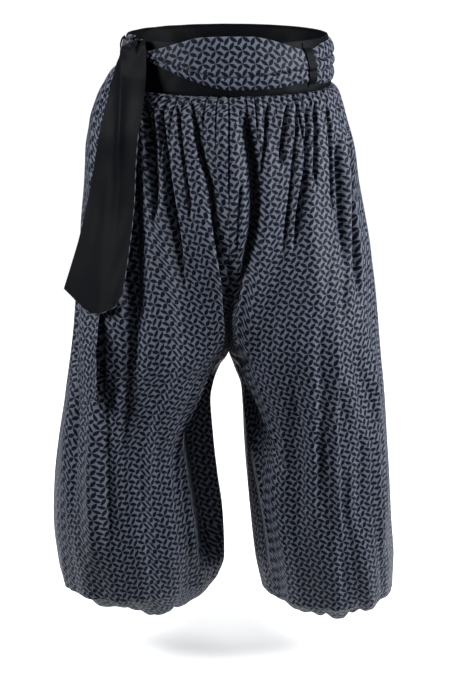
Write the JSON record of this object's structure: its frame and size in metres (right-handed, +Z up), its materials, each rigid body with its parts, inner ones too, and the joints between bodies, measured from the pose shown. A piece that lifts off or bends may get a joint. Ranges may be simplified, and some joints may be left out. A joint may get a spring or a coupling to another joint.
{
  "type": "harem trousers with tie sash",
  "caption": "Full harem trousers gathered into a waistband and elastic ankle hems, with a dropped crotch and a wide sash knotted at the hip.",
  "frame": {"origin": "middle of the waistband's ring, half way up the band", "axes": "+Z up the wearer, front faces -Y, the wearer's left is +X"},
  "size_m": [0.566, 0.3252, 0.9624],
  "materials": {
    "printed_cotton": "matt woven cotton with a small dark print on slate",
    "black_cotton": "matt black woven cotton"
  },
  "bodies": {
    "root": {"front_left": "printed_cotton", "front_right": "printed_cotton", "back_left": "printed_cotton", "back_right": "printed_cotton", "cuff_left": "printed_cotton", "cuff_right": "printed_cotton", "waistband_front_left": "black_cotton", "waistband_front_right": "black_cotton", "waistband_back": "black_cotton", "loop_front_left": "black_cotton", "loop_side_right": "black_cotton", "loop_back_left": "black_cotton", "loop_back_right": "black_cotton", "sash_wrap": "printed_cotton", "sash_knot": "black_cotton", "sash_tail_black": "black_cotton", "sash_tail_print": "printed_cotton"}
  },
  "joints": []
}
